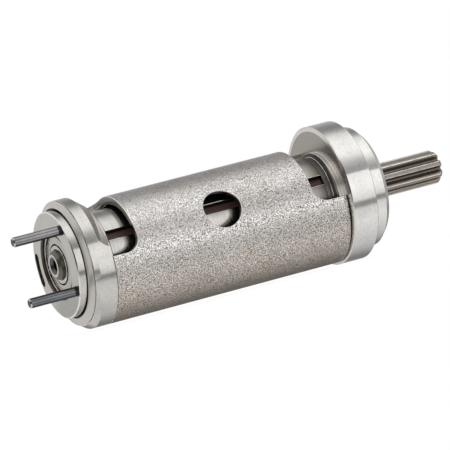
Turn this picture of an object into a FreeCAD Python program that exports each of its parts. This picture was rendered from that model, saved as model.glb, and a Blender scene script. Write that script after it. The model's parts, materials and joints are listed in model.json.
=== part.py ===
import FreeCAD, Part
import math
import os

# Vane air motor cartridge, millimetres.
# X runs along the rotor axis towards the output pinion, Z points to the thin side of the cylinder.
# The origin is on the rotor axis, in the plane of the front flange's seating shoulder.
# Turns are degrees about +X, counted from +Z towards -Y, the side that the exhaust ports face.

# Cylinder, with its outside and its bore each set off from the rotor axis
CYLINDER_LENGTH = 105.7
CYLINDER_RADIUS = 25.0
CYLINDER_WALL = 2.39
CYLINDER_DROP = 3.1
BORE_OFFSET = 2.8
BORE_OFFSET_TURN = 131.0
CYLINDER_EDGE = 0.5

# Exhaust windows at both ends of the cylinder, and the round exhaust hole
WINDOW_TURN_FROM = -27.0
WINDOW_TURN_TO = 88.0
WINDOW_CORNER = 6.0
REAR_WINDOW_LENGTH = 12.9
FRONT_WINDOW_LENGTH = 13.85
HOLE_RADIUS = 8.0
HOLE_TURN = 70.0
HOLE_FROM_FRONT = 53.8

# Rotor and its running faces on the end plates
BORE_GAP = 0.05
END_GAP = 0.05
FRONT_FACE_HEIGHT = 4.4
FRONT_SPIGOT_LENGTH = 1.9
SPIGOT_GAP = 0.05
RUNNING_FACE_STEP = 0.5
REAR_FACE_HEIGHT = 3.3
ROTOR_EDGE = 0.3

# Vanes and their slots
VANE_COUNT = 5
VANE_FIRST_TURN = 68.4
VANE_THICKNESS = 4.1
VANE_SIDE_GAP = 0.05
VANE_SUNK = 2.4
VANE_END_GAP = 0.05
VANE_FOOT_GAP = 0.2
VANE_TIP_RADIUS = 5.0
SLOT_FLOOR_RADIUS = 6.2

# Front end plate
FLANGE_LIP = 0.9
FLANGE_LENGTH = 11.2
FLANGE_EDGE = 0.4
FRONT_SEAT_WIDTH = 4.0
PILOT_LENGTH = 8.2
PILOT_CHAMFER = 2.2
SEAT_EDGE = 0.5

# Rear end plate: a disc close to the rotor axis joined with a disc flush with the cylinder
REAR_DISC_LIP = 0.75
REAR_DISC_DROP = 0.38
REAR_DISC_LENGTH = 9.65
REAR_RIM_LENGTH = 3.1
REAR_BEVEL_SLOPE = 0.7
RIM_GROOVE_WIDTH = 0.5
RIM_GROOVE_DEPTH = 0.5
REAR_CONE_LENGTH = 1.4
BOSS_STEP = 3.1
BOSS_HEIGHT = 4.8
BOSS_EDGE = 0.2
ROOT_GROOVE_WIDTH = 0.7
ROOT_GROOVE_DEPTH = 0.5
ROOT_NECK_LENGTH = 0.7
ROOT_NECK_DEPTH = 0.35
RELIEF_LENGTH = 4.3
RELIEF_CORNER = 6.5
RELIEF_SLOPE = 0.78
RELIEF_TURN_TO = 80.0

# Kidney-shaped air inlet in the boss
INLET_INSET = 2.55
INLET_WIDTH = 3.7
INLET_TURN_FROM = -106.2
INLET_TURN_TO = -75.4
INLET_POCKET_DEPTH = 14.0

# Shaft
SHAFT_GAP = 0.15
FRONT_SHOULDER_RADIUS = 9.0
REAR_SHOULDER_RADIUS = 7.6
SHAFT_END_STANDOUT = 2.2
SHAFT_END_CHAMFER = 1.2
CENTRE_HOLE_RADIUS = 2.5
CENTRE_HOLE_DEPTH = 12.0
CENTRE_CONE_RADIUS = 3.6

# Output pinion
TEETH = 8
MODULE = 1.5
PRESSURE_ANGLE = 20.0
PINION_TIP_RADIUS = 7.0
PINION_ROOT_RADIUS = 4.25
FLANK_FOOT_RADIUS = 5.2
PINION_LENGTH = 33.5
PINION_CHAMFER = 1.3
PINION_NECK = 1.4
PINION_NECK_RADIUS = 5.6
PINION_TURN = 83.0

# Retaining ring on the shaft in front of the front bearing
RING_THICKNESS = 1.0
RING_WIDTH = 2.2
RING_GROOVE_DEPTH = 0.35
RING_GAP_DEGREES = 50.0
RING_GROOVE_GAP = 0.05

# Ball bearings
FRONT_BEARING_RADIUS = 16.0
FRONT_BEARING_BORE = 7.5
FRONT_BEARING_WIDTH = 9.0
FRONT_BALL_COUNT = 9
REAR_BEARING_RADIUS = 14.0
REAR_BEARING_BORE = 6.0
REAR_BEARING_WIDTH = 8.0
REAR_BALL_COUNT = 8
BALL_RADIUS = 2.38
BALL_GAP = 0.03
RACE_SHOULDER = 1.7
RACE_NOTCH = 0.5
RING_EDGE = 0.5
SHIELD_THICKNESS = 0.4
SHIELD_INSET = 0.35
SHIELD_GAP = 0.15
SHIELD_SEAT = 0.8
CAGE_THICKNESS = 1.1
CAGE_WIDTH = 5.8
POCKET_GAP = 0.12
FRONT_BEARING_INSET = 1.2
REAR_BEARING_INSET = 1.1

# Drive dowels that stand out of the rear face, a little thicker where they are pressed in
DOWEL_RADIUS = 2.0
DOWEL_PRESS_STEP = 0.2
DOWEL_STANDOUT = 21.0
DOWEL_DEPTH = 12.0
DOWEL_INSET = 2.5
DOWEL_TURNS = (47.9, 128.1)
DOWEL_CHAMFER = 0.5

# Locating dowels between the cylinder and its end plates
LOCATOR_RADIUS = 1.5
LOCATOR_DEPTH = 6.0
LOCATOR_TURN = 205.0
LOCATOR_INSET = 3.4
LOCATOR_END_GAP = 0.2

# Stations along X, worked out from the lengths above
FRONT_JOINT_X = -FLANGE_LENGTH
REAR_JOINT_X = FRONT_JOINT_X - CYLINDER_LENGTH
REAR_FACE_X = REAR_JOINT_X - REAR_DISC_LENGTH
BOSS_FACE_X = REAR_FACE_X - BOSS_HEIGHT
ROTOR_FRONT_X = FRONT_JOINT_X - FRONT_FACE_HEIGHT - END_GAP
ROTOR_REAR_X = REAR_JOINT_X + REAR_FACE_HEIGHT + END_GAP
FRONT_BEARING_X = PILOT_LENGTH - FRONT_BEARING_INSET - FRONT_BEARING_WIDTH
REAR_BEARING_X = BOSS_FACE_X + REAR_BEARING_INSET
REAR_SHOULDER_X = REAR_BEARING_X + REAR_BEARING_WIDTH
RING_X = FRONT_BEARING_X + FRONT_BEARING_WIDTH
NECK_X = RING_X + RING_THICKNESS + RING_GROOVE_GAP
PINION_X = NECK_X + PINION_NECK
SHAFT_END_X = REAR_BEARING_X - SHAFT_END_STANDOUT

# Radii that follow the cylinder
FLANGE_RADIUS = CYLINDER_RADIUS + CYLINDER_DROP + FLANGE_LIP
PILOT_RADIUS = FLANGE_RADIUS - FRONT_SEAT_WIDTH
REAR_DISC_RADIUS = CYLINDER_RADIUS + REAR_DISC_LIP
BOSS_RADIUS = CYLINDER_RADIUS - BOSS_STEP
INLET_RADIUS = BOSS_RADIUS - INLET_INSET
DOWEL_PITCH_RADIUS = BOSS_RADIUS - DOWEL_INSET
SLOT_WIDTH = VANE_THICKNESS + 2 * VANE_SIDE_GAP
CUT = 1.0


def around(x, radius, turn, centre=FreeCAD.Vector(0, 0, 0)):
    """Point at a radius and turn about an axis along X through centre."""
    angle = math.radians(turn)
    return FreeCAD.Vector(x, centre.y - radius * math.sin(angle), centre.z + radius * math.cos(angle))


CYLINDER_CENTRE = FreeCAD.Vector(0, 0, -CYLINDER_DROP)
BORE_CENTRE = around(0, BORE_OFFSET, BORE_OFFSET_TURN)
REAR_DISC_CENTRE = FreeCAD.Vector(0, 0, -REAR_DISC_DROP)

# The wall is thinnest in line with the two centres, and the rotor all but touches the bore on one side
BORE_RADIUS = CYLINDER_RADIUS - CYLINDER_WALL - CYLINDER_CENTRE.distanceToPoint(BORE_CENTRE)
ROTOR_RADIUS = BORE_RADIUS - BORE_OFFSET - BORE_GAP
VANE_FOOT_RADIUS = SLOT_FLOOR_RADIUS + VANE_FOOT_GAP
VANE_TIP_STATION = ROTOR_RADIUS - VANE_SUNK


def rod(x_from, x_to, radius, centre=FreeCAD.Vector(0, 0, 0)):
    """Cylinder along X."""
    base = FreeCAD.Vector(x_from, centre.y, centre.z)
    return Part.makeCylinder(radius, x_to - x_from, base, FreeCAD.Vector(1, 0, 0))


def turned(profile, centre=FreeCAD.Vector(0, 0, 0)):
    """Solid of revolution about an axis along X from (x, radius) points."""
    points = [around(x, radius, 0, centre) for x, radius in profile]
    face = Part.Face(Part.makePolygon(points + [points[0]]))
    return face.revolve(centre, FreeCAD.Vector(1, 0, 0), 360)


def sector(x_from, x_to, radius_in, radius_out, turn_from, turn_to, centre=FreeCAD.Vector(0, 0, 0)):
    """Part of a ring between two turns."""
    corners = [
        around(x, radius, turn_from, centre)
        for x, radius in ((x_from, radius_in), (x_to, radius_in), (x_to, radius_out), (x_from, radius_out))
    ]
    face = Part.Face(Part.makePolygon(corners + [corners[0]]))
    return face.revolve(centre, FreeCAD.Vector(1, 0, 0), turn_to - turn_from)


def round_window_corners(shape, x, radius):
    """Round the two radial edges of a sector that lie in the plane x."""
    edges = [
        edge for edge in shape.Edges
        if isinstance(edge.Curve, Part.Line) and all(abs(vertex.X - x) < 1e-6 for vertex in edge.Vertexes)
    ]
    return shape.makeFillet(radius, edges)


def kidney(x_from, x_to):
    """Curved slot with round ends, on the inlet's pitch circle."""
    half = INLET_WIDTH / 2
    slot = sector(x_from, x_to, INLET_RADIUS - half, INLET_RADIUS + half, INLET_TURN_FROM, INLET_TURN_TO)
    ends = [rod(x_from, x_to, half, around(0, INLET_RADIUS, turn)) for turn in (INLET_TURN_FROM, INLET_TURN_TO)]
    return slot.fuse(ends).removeSplitter()


def window_sector(x_from, x_to, turn_to=WINDOW_TURN_TO):
    """Radial block as wide around the cylinder as the exhaust windows, if no other end is given."""
    inner = ROTOR_RADIUS / 2
    outer = FLANGE_RADIUS + CUT
    return sector(x_from, x_to, inner, outer, WINDOW_TURN_FROM, turn_to, CYLINDER_CENTRE)


def window(x_from, x_to, x_round, corner, turn_to=WINDOW_TURN_TO):
    """The same block with two rounded corners."""
    return round_window_corners(window_sector(x_from, x_to, turn_to), x_round, corner)


def locator_point(x):
    """Place of the locating dowels, in the thick wall of the cylinder."""
    return around(x, CYLINDER_RADIUS - LOCATOR_INSET, LOCATOR_TURN, CYLINDER_CENTRE)


def make_cylinder():
    """Eccentric sleeve with its ports."""
    body = rod(REAR_JOINT_X, FRONT_JOINT_X, CYLINDER_RADIUS, CYLINDER_CENTRE)
    rims = [edge for edge in body.Edges if isinstance(edge.Curve, Part.Circle)]
    body = body.makeChamfer(CYLINDER_EDGE, rims)
    bore = rod(REAR_JOINT_X - CUT, FRONT_JOINT_X + CUT, BORE_RADIUS, BORE_CENTRE)
    rear_end = REAR_JOINT_X + REAR_WINDOW_LENGTH
    front_end = FRONT_JOINT_X - FRONT_WINDOW_LENGTH
    rear_window = window(REAR_JOINT_X - CUT, rear_end, rear_end, WINDOW_CORNER)
    front_window = window(front_end, FRONT_JOINT_X + CUT, front_end, WINDOW_CORNER)
    hole_x = FRONT_JOINT_X - HOLE_FROM_FRONT
    outward = around(0, 1, HOLE_TURN)
    start = around(hole_x, ROTOR_RADIUS / 2, HOLE_TURN, CYLINDER_CENTRE)
    hole = Part.makeCylinder(HOLE_RADIUS, CYLINDER_RADIUS, start, outward)
    pocket = kidney(REAR_JOINT_X - CUT, REAR_JOINT_X + INLET_POCKET_DEPTH)
    rear_socket = rod(REAR_JOINT_X - CUT, REAR_JOINT_X + LOCATOR_DEPTH, LOCATOR_RADIUS, locator_point(0))
    front_socket = rod(FRONT_JOINT_X - LOCATOR_DEPTH, FRONT_JOINT_X + CUT, LOCATOR_RADIUS, locator_point(0))
    return body.cut([bore, rear_window, front_window, hole, pocket, rear_socket, front_socket])


def make_front_end_plate():
    """Stepped plate: running face, flange, pilot and the bearing seat open to the front."""
    seat_radius = FRONT_BEARING_RADIUS
    passage = FRONT_SHOULDER_RADIUS + SHAFT_GAP
    running_x = FRONT_JOINT_X - FRONT_FACE_HEIGHT
    running_radius = ROTOR_RADIUS - RUNNING_FACE_STEP
    profile = [
        (running_x, passage),
        (running_x, running_radius),
        (FRONT_JOINT_X, running_radius),
        (FRONT_JOINT_X, FLANGE_RADIUS - FLANGE_EDGE),
        (FRONT_JOINT_X + FLANGE_EDGE, FLANGE_RADIUS),
        (-FLANGE_EDGE, FLANGE_RADIUS),
        (0, FLANGE_RADIUS - FLANGE_EDGE),
        (0, PILOT_RADIUS),
        (PILOT_LENGTH - PILOT_CHAMFER, PILOT_RADIUS),
        (PILOT_LENGTH, PILOT_RADIUS - PILOT_CHAMFER),
        (PILOT_LENGTH, seat_radius + SEAT_EDGE),
        (PILOT_LENGTH - SEAT_EDGE, seat_radius),
        (FRONT_BEARING_X, seat_radius),
        (FRONT_BEARING_X, passage),
    ]
    socket = rod(FRONT_JOINT_X - CUT, FRONT_JOINT_X + LOCATOR_DEPTH, LOCATOR_RADIUS, locator_point(0))

    # A short spigot seats in the eccentric bore; the running face beyond it is a little narrower than the rotor
    spigot_x = FRONT_JOINT_X - FRONT_SPIGOT_LENGTH
    spigot = rod(spigot_x, FRONT_JOINT_X + CUT, BORE_RADIUS - SPIGOT_GAP, BORE_CENTRE)
    spigot = spigot.cut(rod(spigot_x - CUT, FRONT_JOINT_X + 2 * CUT, passage + CUT))
    return turned(profile).fuse(spigot).removeSplitter().cut(socket)


def make_rear_end_plate():
    """Disc with boss, bearing seat, inlet, dowel holes and the relief behind the exhaust window."""
    rim_x = REAR_FACE_X + RIM_GROOVE_WIDTH
    rim_end = REAR_FACE_X + REAR_RIM_LENGTH
    rim = rod(rim_x, rim_end, REAR_DISC_RADIUS, REAR_DISC_CENTRE)
    lobe = rod(rim_x, REAR_JOINT_X, REAR_DISC_RADIUS, REAR_DISC_CENTRE)
    lobe = lobe.common(window_sector(rim_x - CUT, REAR_JOINT_X + CUT))
    flush = rod(rim_x, REAR_JOINT_X, CYLINDER_RADIUS, CYLINDER_CENTRE)
    length = REAR_JOINT_X - rim_x
    bevel = turned([
        (rim_x, 0),
        (rim_x, REAR_DISC_RADIUS),
        (REAR_JOINT_X, REAR_DISC_RADIUS + REAR_BEVEL_SLOPE * length),
        (REAR_JOINT_X, 0),
    ], REAR_DISC_CENTRE)
    flush = flush.common(bevel)

    # The slope in front of the lobe lets the exhaust out past the plate
    relief_x = REAR_JOINT_X - RELIEF_LENGTH
    relief = window(relief_x, REAR_JOINT_X + RELIEF_CORNER, relief_x, RELIEF_CORNER, RELIEF_TURN_TO)
    slope_end = REAR_DISC_RADIUS - RELIEF_SLOPE * (RELIEF_LENGTH + CUT)
    core = turned([
        (relief_x - CUT, 0),
        (relief_x - CUT, REAR_DISC_RADIUS + RELIEF_SLOPE * CUT),
        (REAR_JOINT_X + CUT, slope_end),
        (REAR_JOINT_X + CUT, 0),
    ], REAR_DISC_CENTRE)
    plate = lobe.cut(relief.cut(core)).fuse([rim, flush])

    # Coned rear face between a groove at its rim and an undercut around the boss
    root = BOSS_RADIUS + ROOT_GROOVE_WIDTH
    cone = turned([
        (rim_x + CUT, 0),
        (rim_x + CUT, REAR_DISC_RADIUS - RIM_GROOVE_DEPTH),
        (REAR_FACE_X, REAR_DISC_RADIUS - RIM_GROOVE_DEPTH),
        (REAR_FACE_X, REAR_DISC_RADIUS),
        (REAR_FACE_X - REAR_CONE_LENGTH, root),
        (REAR_FACE_X - REAR_CONE_LENGTH, 0),
    ], REAR_DISC_CENTRE)
    moat = turned([
        (REAR_FACE_X - REAR_CONE_LENGTH + ROOT_GROOVE_DEPTH, 0),
        (REAR_FACE_X - REAR_CONE_LENGTH + ROOT_GROOVE_DEPTH, root),
        (REAR_FACE_X - REAR_CONE_LENGTH - CUT, root),
        (REAR_FACE_X - REAR_CONE_LENGTH - CUT, 0),
    ])
    plate = plate.fuse(cone).cut(moat)
    neck_x = REAR_FACE_X - REAR_CONE_LENGTH + ROOT_GROOVE_DEPTH - ROOT_NECK_LENGTH
    boss = turned([
        (REAR_FACE_X + CUT, 0),
        (REAR_FACE_X + CUT, BOSS_RADIUS - ROOT_NECK_DEPTH),
        (neck_x, BOSS_RADIUS - ROOT_NECK_DEPTH),
        (neck_x, BOSS_RADIUS),
        (BOSS_FACE_X + BOSS_EDGE, BOSS_RADIUS),
        (BOSS_FACE_X, BOSS_RADIUS - BOSS_EDGE),
        (BOSS_FACE_X, 0),
    ])
    running_face = rod(REAR_JOINT_X - CUT, REAR_JOINT_X + REAR_FACE_HEIGHT, ROTOR_RADIUS)
    plate = plate.fuse([boss, running_face]).removeSplitter()

    seat_radius = REAR_BEARING_RADIUS
    seat = turned([
        (BOSS_FACE_X - CUT, 0),
        (BOSS_FACE_X - CUT, seat_radius + SEAT_EDGE + CUT),
        (BOSS_FACE_X + SEAT_EDGE, seat_radius),
        (REAR_SHOULDER_X, seat_radius),
        (REAR_SHOULDER_X, 0),
    ])
    passage = rod(BOSS_FACE_X, REAR_JOINT_X + REAR_FACE_HEIGHT + CUT, REAR_SHOULDER_RADIUS + SHAFT_GAP)
    inlet = kidney(BOSS_FACE_X - CUT, REAR_JOINT_X + CUT)
    press_radius = DOWEL_RADIUS + DOWEL_PRESS_STEP
    dowel_holes = [
        rod(BOSS_FACE_X - CUT, BOSS_FACE_X + DOWEL_DEPTH, press_radius, around(0, DOWEL_PITCH_RADIUS, turn))
        for turn in DOWEL_TURNS
    ]
    socket = rod(REAR_JOINT_X - LOCATOR_DEPTH, REAR_JOINT_X + CUT, LOCATOR_RADIUS, locator_point(0))
    return plate.cut([seat, passage, inlet, socket] + dowel_holes)


def involute_half_angle(radius):
    """Half of a tooth's angle at a radius, in degrees."""
    pitch_radius = MODULE * TEETH / 2
    base_radius = pitch_radius * math.cos(math.radians(PRESSURE_ANGLE))
    at_pitch = math.radians(PRESSURE_ANGLE)
    at_radius = math.acos(min(1.0, base_radius / radius))
    spread = (math.tan(at_radius) - at_radius) - (math.tan(at_pitch) - at_pitch)
    return 90.0 / TEETH - math.degrees(spread)


def pinion_section():
    """Outline of the pinion: involute flanks, round roots, arcs over the tips."""
    base_radius = MODULE * TEETH / 2 * math.cos(math.radians(PRESSURE_ANGLE))
    steps = 4
    radii = [base_radius + (PINION_TIP_RADIUS - base_radius) * step / steps for step in range(steps + 1)]
    pitch = 360.0 / TEETH
    edges = []
    for tooth in range(TEETH):
        middle = PINION_TURN + tooth * pitch
        rise = [around(PINION_X, radius, middle - involute_half_angle(radius)) for radius in radii]
        fall = [around(PINION_X, radius, middle + involute_half_angle(radius)) for radius in radii]
        foot = involute_half_angle(base_radius)
        rise_foot = around(PINION_X, FLANK_FOOT_RADIUS, middle - foot)
        fall_foot = around(PINION_X, FLANK_FOOT_RADIUS, middle + foot)
        next_foot = around(PINION_X, FLANK_FOOT_RADIUS, middle + pitch - foot)
        root = around(PINION_X, PINION_ROOT_RADIUS, middle + pitch / 2)
        tip = around(PINION_X, PINION_TIP_RADIUS, middle)
        rise_curve = Part.BSplineCurve()
        rise_curve.interpolate(rise)
        fall_curve = Part.BSplineCurve()
        fall_curve.interpolate(fall[::-1])
        edges.append(Part.makeLine(rise_foot, rise[0]))
        edges.append(rise_curve.toShape())
        edges.append(Part.Arc(rise[-1], tip, fall[-1]).toShape())
        edges.append(fall_curve.toShape())
        edges.append(Part.makeLine(fall[0], fall_foot))
        edges.append(Part.Arc(fall_foot, root, next_foot).toShape())
    return Part.Face(Part.Wire(edges))


def make_pinion():
    """Teeth with chamfered ends."""
    teeth = pinion_section().extrude(FreeCAD.Vector(PINION_LENGTH, 0, 0))
    end = PINION_X + PINION_LENGTH
    low = PINION_TIP_RADIUS - PINION_CHAMFER
    envelope = turned([
        (PINION_X, 0),
        (PINION_X, low),
        (PINION_X + PINION_CHAMFER, PINION_TIP_RADIUS + CUT / 10),
        (end - PINION_CHAMFER, PINION_TIP_RADIUS + CUT / 10),
        (end, low),
        (end, 0),
    ])
    return teeth.common(envelope)


def vane_slot(turn):
    """Slot through the whole rotor, turned to its place."""
    shape = Part.makeBox(
        ROTOR_FRONT_X - ROTOR_REAR_X + 2 * CUT,
        SLOT_WIDTH,
        ROTOR_RADIUS,
        FreeCAD.Vector(ROTOR_REAR_X - CUT, -SLOT_WIDTH / 2, SLOT_FLOOR_RADIUS),
    )
    shape.rotate(FreeCAD.Vector(0, 0, 0), FreeCAD.Vector(1, 0, 0), turn)
    return shape


def vane_turns():
    return [VANE_FIRST_TURN + 360.0 * index / VANE_COUNT for index in range(VANE_COUNT)]


def make_rotor():
    """Slotted rotor, turned in one piece with its shaft and pinion."""
    body = turned([
        (ROTOR_REAR_X, 0),
        (ROTOR_REAR_X, ROTOR_RADIUS - ROTOR_EDGE),
        (ROTOR_REAR_X + ROTOR_EDGE, ROTOR_RADIUS),
        (ROTOR_FRONT_X - ROTOR_EDGE, ROTOR_RADIUS),
        (ROTOR_FRONT_X, ROTOR_RADIUS - ROTOR_EDGE),
        (ROTOR_FRONT_X, 0),
    ])
    body = body.cut([vane_slot(turn) for turn in vane_turns()])
    front_journal = FRONT_BEARING_BORE
    rear_journal = REAR_BEARING_BORE
    groove = front_journal - RING_GROOVE_DEPTH
    shaft = turned([
        (SHAFT_END_X, 0),
        (SHAFT_END_X, rear_journal - SHAFT_END_CHAMFER),
        (SHAFT_END_X + SHAFT_END_CHAMFER, rear_journal),
        (REAR_SHOULDER_X, rear_journal),
        (REAR_SHOULDER_X, REAR_SHOULDER_RADIUS),
        (ROTOR_REAR_X, REAR_SHOULDER_RADIUS),
        (ROTOR_REAR_X, SLOT_FLOOR_RADIUS),
        (ROTOR_FRONT_X, SLOT_FLOOR_RADIUS),
        (ROTOR_FRONT_X, FRONT_SHOULDER_RADIUS),
        (FRONT_BEARING_X, FRONT_SHOULDER_RADIUS),
        (FRONT_BEARING_X, front_journal),
        (RING_X, front_journal),
        (RING_X, groove),
        (NECK_X, groove),
        (NECK_X, PINION_NECK_RADIUS),
        (PINION_X, PINION_NECK_RADIUS),
        (PINION_X, 0),
    ])
    depth = CENTRE_HOLE_DEPTH
    cone = CENTRE_CONE_RADIUS - CENTRE_HOLE_RADIUS
    centre_hole = turned([
        (SHAFT_END_X - CUT, 0),
        (SHAFT_END_X - CUT, CENTRE_CONE_RADIUS),
        (SHAFT_END_X, CENTRE_CONE_RADIUS),
        (SHAFT_END_X + cone, CENTRE_HOLE_RADIUS),
        (SHAFT_END_X + depth, CENTRE_HOLE_RADIUS),
        (SHAFT_END_X + depth + cone, 0),
    ])
    return body.fuse([shaft, make_pinion()]).removeSplitter().cut(centre_hole)


def make_vane(turn):
    """Flat vane with a crowned tip, at the bottom of its slot."""
    half = VANE_THICKNESS / 2
    foot = VANE_FOOT_RADIUS
    tip = VANE_TIP_STATION
    sag = VANE_TIP_RADIUS - math.sqrt(VANE_TIP_RADIUS ** 2 - half ** 2)
    x = ROTOR_REAR_X + VANE_END_GAP
    corners = [
        FreeCAD.Vector(x, half, tip - sag),
        FreeCAD.Vector(x, half, foot),
        FreeCAD.Vector(x, -half, foot),
        FreeCAD.Vector(x, -half, tip - sag),
    ]
    crown = Part.Arc(corners[3], FreeCAD.Vector(x, 0, tip), corners[0]).toShape()
    face = Part.Face(Part.Wire(Part.makePolygon(corners).Edges + [crown]))
    vane = face.extrude(FreeCAD.Vector(ROTOR_FRONT_X - ROTOR_REAR_X - 2 * VANE_END_GAP, 0, 0))
    vane.rotate(FreeCAD.Vector(0, 0, 0), FreeCAD.Vector(1, 0, 0), turn)
    return vane


def make_bearing(name, start, outer, bore, width, count):
    """Rings, balls, cage and shields of a shielded ball bearing whose rear face is at start."""
    pitch = (outer + bore) / 2
    middle = start + width / 2
    end = start + width
    race = Part.makeTorus(
        pitch, BALL_RADIUS + BALL_GAP, FreeCAD.Vector(middle, 0, 0), FreeCAD.Vector(1, 0, 0)
    )
    outer_land = pitch + RACE_SHOULDER
    inner_land = pitch - RACE_SHOULDER
    step = SHIELD_INSET + SHIELD_THICKNESS
    outer_ring = turned([
        (start, outer - RING_EDGE),
        (start + RING_EDGE, outer),
        (end - RING_EDGE, outer),
        (end, outer - RING_EDGE),
        (end, outer_land + SHIELD_SEAT),
        (end - step, outer_land + SHIELD_SEAT),
        (end - step, outer_land),
        (start + step, outer_land),
        (start + step, outer_land + SHIELD_SEAT),
        (start, outer_land + SHIELD_SEAT),
    ]).cut(race)
    notch = inner_land - RACE_NOTCH
    inner_ring = turned([
        (start, bore + RING_EDGE),
        (start + RING_EDGE, bore),
        (end - RING_EDGE, bore),
        (end, bore + RING_EDGE),
        (end, notch),
        (end - step - SHIELD_GAP, notch),
        (end - step - SHIELD_GAP, inner_land),
        (start + step + SHIELD_GAP, inner_land),
        (start + step + SHIELD_GAP, notch),
        (start, notch),
    ]).cut(race)
    balls = []
    pockets = []
    for index in range(count):
        place = around(middle, pitch, 360.0 * index / count)
        balls.append(Part.makeSphere(BALL_RADIUS, place))
        pockets.append(Part.makeSphere(BALL_RADIUS + POCKET_GAP, place))
    half = CAGE_THICKNESS / 2
    cage = rod(middle - CAGE_WIDTH / 2, middle + CAGE_WIDTH / 2, pitch + half)
    cage = cage.cut(rod(start, end, pitch - half)).cut(pockets)
    shields = {}
    for side, x in (("rear", start + SHIELD_INSET), ("front", end - step)):
        disc = rod(x, x + SHIELD_THICKNESS, outer_land + SHIELD_SEAT)
        shields[side] = disc.cut(rod(start, end, notch + SHIELD_GAP))
    return {
        name + "_bearing_outer_ring": outer_ring,
        name + "_bearing_inner_ring": inner_ring,
        name + "_bearing_balls": Part.makeCompound(balls),
        name + "_bearing_cage": cage,
        name + "_bearing_rear_shield": shields["rear"],
        name + "_bearing_front_shield": shields["front"],
    }


def make_retaining_ring():
    """Open ring in the shaft's groove, in front of the front bearing."""
    inner = FRONT_BEARING_BORE - RING_GROOVE_DEPTH
    half_gap = RING_GAP_DEGREES / 2
    return sector(RING_X, RING_X + RING_THICKNESS, inner, inner + RING_WIDTH, half_gap, 360 - half_gap)


def make_pin(x_from, x_to, radius, chamfer, centre):
    """Round pin along X with chamfered ends."""
    pin = rod(x_from, x_to, radius, centre)
    rims = [edge for edge in pin.Edges if isinstance(edge.Curve, Part.Circle)]
    return pin.makeChamfer(chamfer, rims)


def make_drive_dowel(turn):
    """Pin in the boss; its free end is the thinner one."""
    place = around(0, DOWEL_PITCH_RADIUS, turn)
    free = make_pin(BOSS_FACE_X - DOWEL_STANDOUT, BOSS_FACE_X + CUT, DOWEL_RADIUS, DOWEL_CHAMFER, place)
    end = BOSS_FACE_X + DOWEL_DEPTH
    return free.fuse(rod(BOSS_FACE_X, end, DOWEL_RADIUS + DOWEL_PRESS_STEP, place)).removeSplitter()


def make_parts():
    parts = {
        "cylinder": make_cylinder(),
        "front_end_plate": make_front_end_plate(),
        "rear_end_plate": make_rear_end_plate(),
        "rotor": make_rotor(),
        "front_retaining_ring": make_retaining_ring(),
    }
    for index, turn in enumerate(vane_turns()):
        parts["vane_%d" % (index + 1)] = make_vane(turn)
    parts.update(make_bearing(
        "front", FRONT_BEARING_X, FRONT_BEARING_RADIUS, FRONT_BEARING_BORE, FRONT_BEARING_WIDTH, FRONT_BALL_COUNT
    ))
    parts.update(make_bearing(
        "rear", REAR_BEARING_X, REAR_BEARING_RADIUS, REAR_BEARING_BORE, REAR_BEARING_WIDTH, REAR_BALL_COUNT
    ))
    parts["upper_dowel_pin"] = make_drive_dowel(DOWEL_TURNS[0])
    parts["lower_dowel_pin"] = make_drive_dowel(DOWEL_TURNS[1])
    reach = LOCATOR_DEPTH - LOCATOR_END_GAP
    for name, joint_x in (("front_locating_dowel", FRONT_JOINT_X), ("rear_locating_dowel", REAR_JOINT_X)):
        pin = make_pin(joint_x - reach, joint_x + reach, LOCATOR_RADIUS, LOCATOR_END_GAP, locator_point(0))
        parts[name] = pin
    return parts


def export(parts):
    os.makedirs("parts", exist_ok=True)
    for name, shape in parts.items():
        shape.exportStep("parts/" + name + ".step")
        print("%-28s solids %d volume %.1f valid %s" % (name, len(shape.Solids), shape.Volume, shape.isValid()))


export(make_parts())
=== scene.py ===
import bpy
import bmesh
import math
from mathutils import Matrix, Vector
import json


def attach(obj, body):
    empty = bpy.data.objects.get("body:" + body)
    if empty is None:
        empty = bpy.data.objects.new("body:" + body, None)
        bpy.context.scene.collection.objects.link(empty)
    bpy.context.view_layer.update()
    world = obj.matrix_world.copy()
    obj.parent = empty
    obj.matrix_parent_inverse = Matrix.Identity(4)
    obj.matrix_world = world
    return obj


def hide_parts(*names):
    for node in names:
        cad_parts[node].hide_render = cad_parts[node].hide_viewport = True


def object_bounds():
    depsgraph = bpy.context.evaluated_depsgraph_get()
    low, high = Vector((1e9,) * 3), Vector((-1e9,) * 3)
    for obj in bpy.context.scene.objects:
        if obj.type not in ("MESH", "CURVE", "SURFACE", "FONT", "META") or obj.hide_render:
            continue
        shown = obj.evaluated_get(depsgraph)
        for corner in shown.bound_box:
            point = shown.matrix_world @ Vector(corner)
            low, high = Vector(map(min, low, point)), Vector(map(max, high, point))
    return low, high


# Vane air motor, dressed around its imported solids. Blender's lengths are metres; the sizes below are
# millimetres. X runs along the rotor axis to the pinion. Turns are degrees about +X, counted from +Z
# towards -Y, as in the part's source.

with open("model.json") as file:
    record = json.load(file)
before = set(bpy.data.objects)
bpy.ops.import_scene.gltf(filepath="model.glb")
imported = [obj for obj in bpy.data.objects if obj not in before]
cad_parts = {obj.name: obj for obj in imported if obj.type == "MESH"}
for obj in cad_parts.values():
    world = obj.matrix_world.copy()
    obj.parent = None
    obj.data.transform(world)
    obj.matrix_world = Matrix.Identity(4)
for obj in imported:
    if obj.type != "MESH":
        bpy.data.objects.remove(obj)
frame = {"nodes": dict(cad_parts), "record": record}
cad_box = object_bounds()
MM = 0.001

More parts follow.
